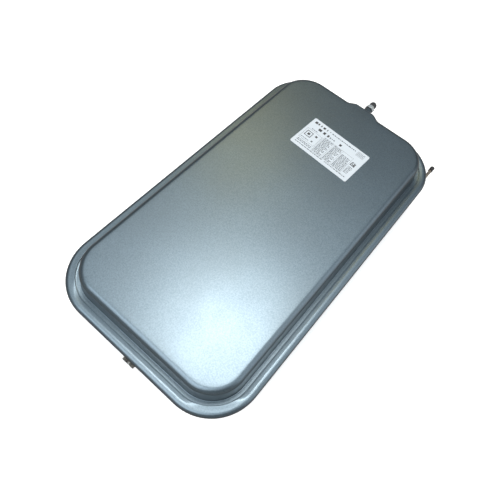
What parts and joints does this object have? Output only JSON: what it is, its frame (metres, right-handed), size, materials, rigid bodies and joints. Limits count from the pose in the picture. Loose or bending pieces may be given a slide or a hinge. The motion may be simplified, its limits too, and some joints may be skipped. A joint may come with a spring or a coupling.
{
  "type": "expansion vessel",
  "caption": "Flat rectangular boiler expansion vessel: two pressed steel shells in a folded hem, membrane, air valve, water nipple, hanger rods and data label.",
  "frame": {"origin": "centre of the water-side shell's flat back face, which the vessel lies on", "axes": "+Z out of the back towards the gas-side face and its label, +Y along the long side towards the air valve, +X to the right when the label is read upright"},
  "size_m": [0.25, 0.4731, 0.0855],
  "materials": {
    "shell_paint": "silver blue-grey metallic paint with a fine grain, satin",
    "plated_steel": "zinc-plated turned or drawn steel",
    "brass_core": "turned brass",
    "membrane_rubber": "moulded black rubber, matt",
    "seal_rubber": "moulded black rubber, matt",
    "cap_plastic": "moulded dark grey plastic",
    "label_film": "printed white film with a soft gloss"
  },
  "bodies": {
    "vessel": {"gas_side_shell": "shell_paint", "water_side_shell": "shell_paint", "membrane_bead": "membrane_rubber", "membrane_wall": "membrane_rubber", "water_nipple": "plated_steel", "valve_boss": "shell_paint", "valve_gasket": "seal_rubber", "valve_stem": "plated_steel", "core_screw": "brass_core", "core_barrel": "brass_core", "core_gasket": "seal_rubber", "core_spring": "plated_steel", "hanger_rod_left": "plated_steel", "hanger_rod_right": "plated_steel", "hanger_sleeve_left": "seal_rubber", "hanger_sleeve_right": "seal_rubber", "data_label": "label_film"},
    "membrane": {"membrane_field": "membrane_rubber"},
    "core": {"core_pin": "brass_core", "core_washer": "seal_rubber", "core_plunger": "brass_core"},
    "cap_carrier": {"cap_seal": "seal_rubber"},
    "cap": {"valve_cap": "cap_plastic"}
  },
  "joints": [
    {"name": "membrane_travel", "type": "slide", "parent": "vessel", "child": "membrane", "axis": [0, 0, 1], "range_m": [0, 0.065], "deforming": ["membrane_wall"]},
    {"name": "core_press", "type": "slide", "parent": "vessel", "child": "core", "axis": [0, -1, 0], "range_m": [0, 0.0015], "stiffness_N_per_m": 1500, "springref_m": -0.001, "deforming": ["core_spring"]},
    {"name": "cap_rise", "type": "slide", "parent": "vessel", "child": "cap_carrier", "axis": [0, 1, 0], "range_m": [0, 0.00397]},
    {"name": "cap_turn", "type": "hinge", "parent": "cap_carrier", "child": "cap", "pos_m": [0, 0.238, 0.07], "axis": [0, 1, 0], "range_deg": [0, 1800]}
  ],
  "couplings": [
    {"joint": "cap_turn", "follows": "cap_rise", "rad_per_m": 7913}
  ]
}
